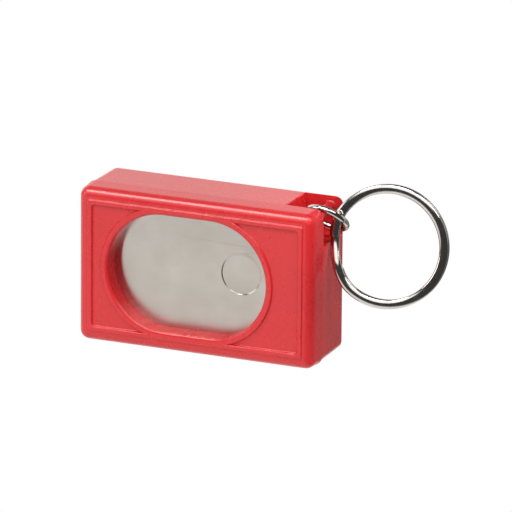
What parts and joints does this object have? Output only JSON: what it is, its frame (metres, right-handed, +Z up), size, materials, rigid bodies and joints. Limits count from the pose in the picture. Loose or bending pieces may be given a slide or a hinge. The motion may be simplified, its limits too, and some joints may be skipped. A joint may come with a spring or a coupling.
{
  "type": "key-ring box clicker",
  "caption": "Hand-held red plastic box clicker with a sprung steel tongue behind a rounded window, and a jump ring and split key ring in its corner notch.",
  "frame": {"origin": "centre of the long narrow side that the box stands on", "axes": "+X along the box towards the rings, -Y out of the window face, +Z up from the side it stands on"},
  "size_m": [0.0837, 0.0197, 0.0413],
  "materials": {
    "red_plastic": "moulded, soft gloss",
    "spring_steel": "rolled satin",
    "rivet_steel": "bright",
    "nickel_wire": "polished nickel plate"
  },
  "bodies": {
    "box": {"front_cover": "red_plastic", "rear_case": "red_plastic", "tongue_root": "spring_steel", "tongue_rivets": "rivet_steel"},
    "tongue": {"click_tongue": "spring_steel"},
    "jump_ring": {"jump_ring": "nickel_wire"},
    "split_ring": {"split_ring": "nickel_wire"}
  },
  "joints": [
    {"name": "tongue_press", "type": "hinge", "parent": "box", "child": "tongue", "pos_m": [0.01745, -0.00537, 0.018], "axis": [0, 0, -1], "range_deg": [0, 4.5], "stiffness_Nm_per_rad": 1.5},
    {"name": "jump_ring_swing", "type": "hinge", "parent": "box", "child": "jump_ring", "pos_m": [0.0251, 0.001, 0.033], "axis": [0, -1, 0], "range_deg": [0, 90]},
    {"name": "split_ring_swing", "type": "hinge", "parent": "jump_ring", "child": "split_ring", "pos_m": [0.03178, -0.00054, 0.03295], "axis": [0.2138, 0.7012, -0.6801], "range_deg": [-50, 0]}
  ]
}
